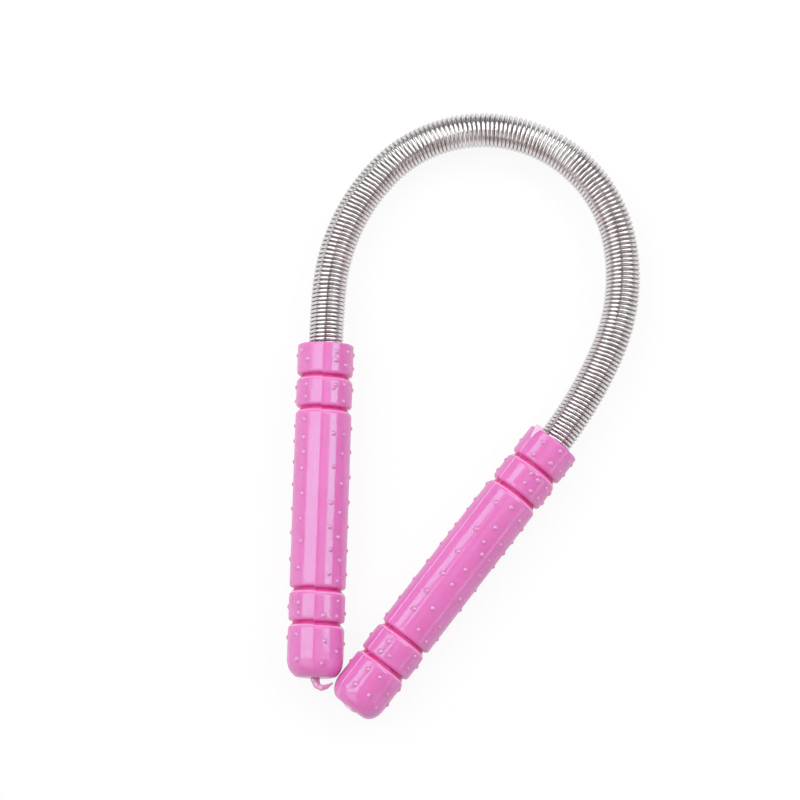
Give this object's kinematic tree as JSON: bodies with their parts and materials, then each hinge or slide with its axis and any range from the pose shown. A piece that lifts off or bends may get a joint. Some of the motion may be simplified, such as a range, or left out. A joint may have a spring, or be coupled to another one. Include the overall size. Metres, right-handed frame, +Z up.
{
  "type": "facial hair removal spring",
  "caption": "Steel coil spring bent into an open loop, with a grooved plastic handle on each end, for plucking fine facial hair.",
  "frame": {"origin": "under the middle of the part, on the surface that it lies on", "axes": "+Z up, +Y from the handles towards the crown of the bent spring, +X from the left handle to the right one"},
  "size_m": [0.0506, 0.0872, 0.008],
  "materials": {
    "spring_steel": "polished",
    "pink_plastic": "gloss"
  },
  "bodies": {
    "root": {"spring": "spring_steel", "left_handle": "pink_plastic", "right_handle": "pink_plastic"}
  },
  "joints": []
}
